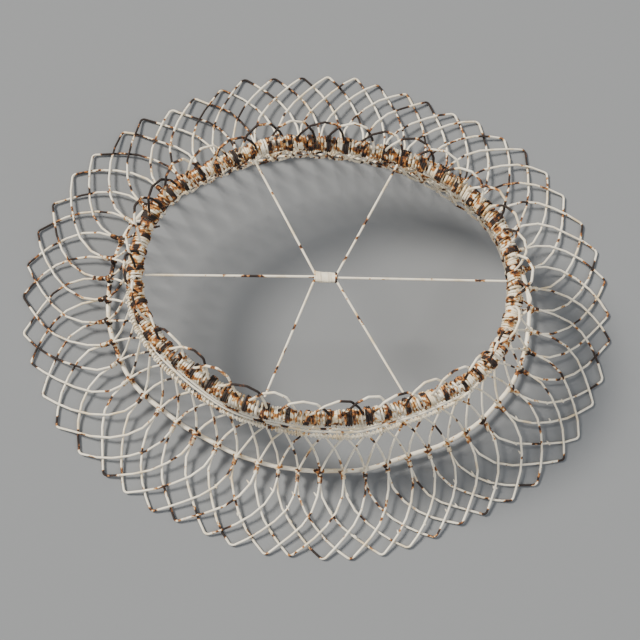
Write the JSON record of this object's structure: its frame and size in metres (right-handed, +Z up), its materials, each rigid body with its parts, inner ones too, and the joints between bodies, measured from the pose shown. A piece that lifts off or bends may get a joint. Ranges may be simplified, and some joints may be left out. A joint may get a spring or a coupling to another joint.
{
  "type": "wreath frame",
  "caption": "Oval wirework frame with a looped skirt, a flared lattice wall, a wire-bound rim with small arches, and spokes bound at a central hub.",
  "frame": {"origin": "centre of the oval on the plane the skirt's tips rest on", "axes": "+X along the oval's long axis, +Y across it, +Z up through the opening, from the skirt to the rim"},
  "size_m": [0.56, 0.4745, 0.1318],
  "materials": {
    "painted_wire": "cream paint, chipped to dark iron and rust",
    "worn_wire": "cream paint worn through to orange rust",
    "rusty_wire": "mostly bare dark iron with scraps of cream paint",
    "rusty_coil": "cream paint broken by orange and brown rust"
  },
  "bodies": {
    "root": {"gallery_arches_01": "rusty_wire", "gallery_arches_05": "rusty_wire", "gallery_arches_09": "rusty_wire", "gallery_arches_13": "rusty_wire", "gallery_arches_17": "rusty_wire", "gallery_arches_21": "rusty_wire", "gallery_arches_25": "rusty_wire", "gallery_arches_29": "rusty_wire", "gallery_arches_33": "rusty_wire", "hub_binding": "painted_wire", "lower_row_core": "worn_wire", "lower_row_ties_1": "rusty_wire", "lower_row_ties_2": "rusty_wire", "lower_row_ties_3": "rusty_wire", "lower_row_ties_4": "rusty_wire", "lower_row_winding": "worn_wire", "plain_wire_1": "painted_wire", "plain_wire_2": "painted_wire", "rim_coil": "rusty_coil", "rim_wire_lower": "worn_wire", "rim_wire_upper": "worn_wire", "ring_ties_1": "rusty_wire", "ring_ties_2": "rusty_wire", "ring_ties_3": "rusty_wire", "ring_ties_4": "rusty_wire", "skirt_loops_01": "painted_wire", "skirt_loops_03": "painted_wire", "skirt_loops_05": "painted_wire", "skirt_loops_07": "painted_wire", "skirt_loops_09": "painted_wire", "skirt_loops_11": "painted_wire", "skirt_loops_13": "painted_wire", "skirt_loops_15": "painted_wire", "skirt_loops_17": "painted_wire", "skirt_loops_19": "painted_wire", "skirt_loops_21": "painted_wire", "skirt_loops_23": "painted_wire", "skirt_loops_25": "painted_wire", "skirt_loops_27": "painted_wire", "skirt_loops_29": "painted_wire", "skirt_loops_31": "painted_wire", "skirt_loops_33": "painted_wire", "skirt_loops_35": "painted_wire", "skirt_loops_37": "painted_wire", "skirt_loops_39": "painted_wire", "skirt_loops_41": "painted_wire", "skirt_loops_43": "painted_wire", "skirt_loops_45": "painted_wire", "skirt_loops_47": "painted_wire", "skirt_loops_49": "painted_wire", "skirt_loops_51": "painted_wire", "skirt_loops_53": "painted_wire", "skirt_loops_55": "painted_wire", "spoke_wire_1": "painted_wire", "spoke_wire_2": "painted_wire", "spoke_wire_3": "painted_wire", "support_ring": "painted_wire", "upper_row_core": "worn_wire", "upper_row_winding": "worn_wire"}
  },
  "joints": []
}
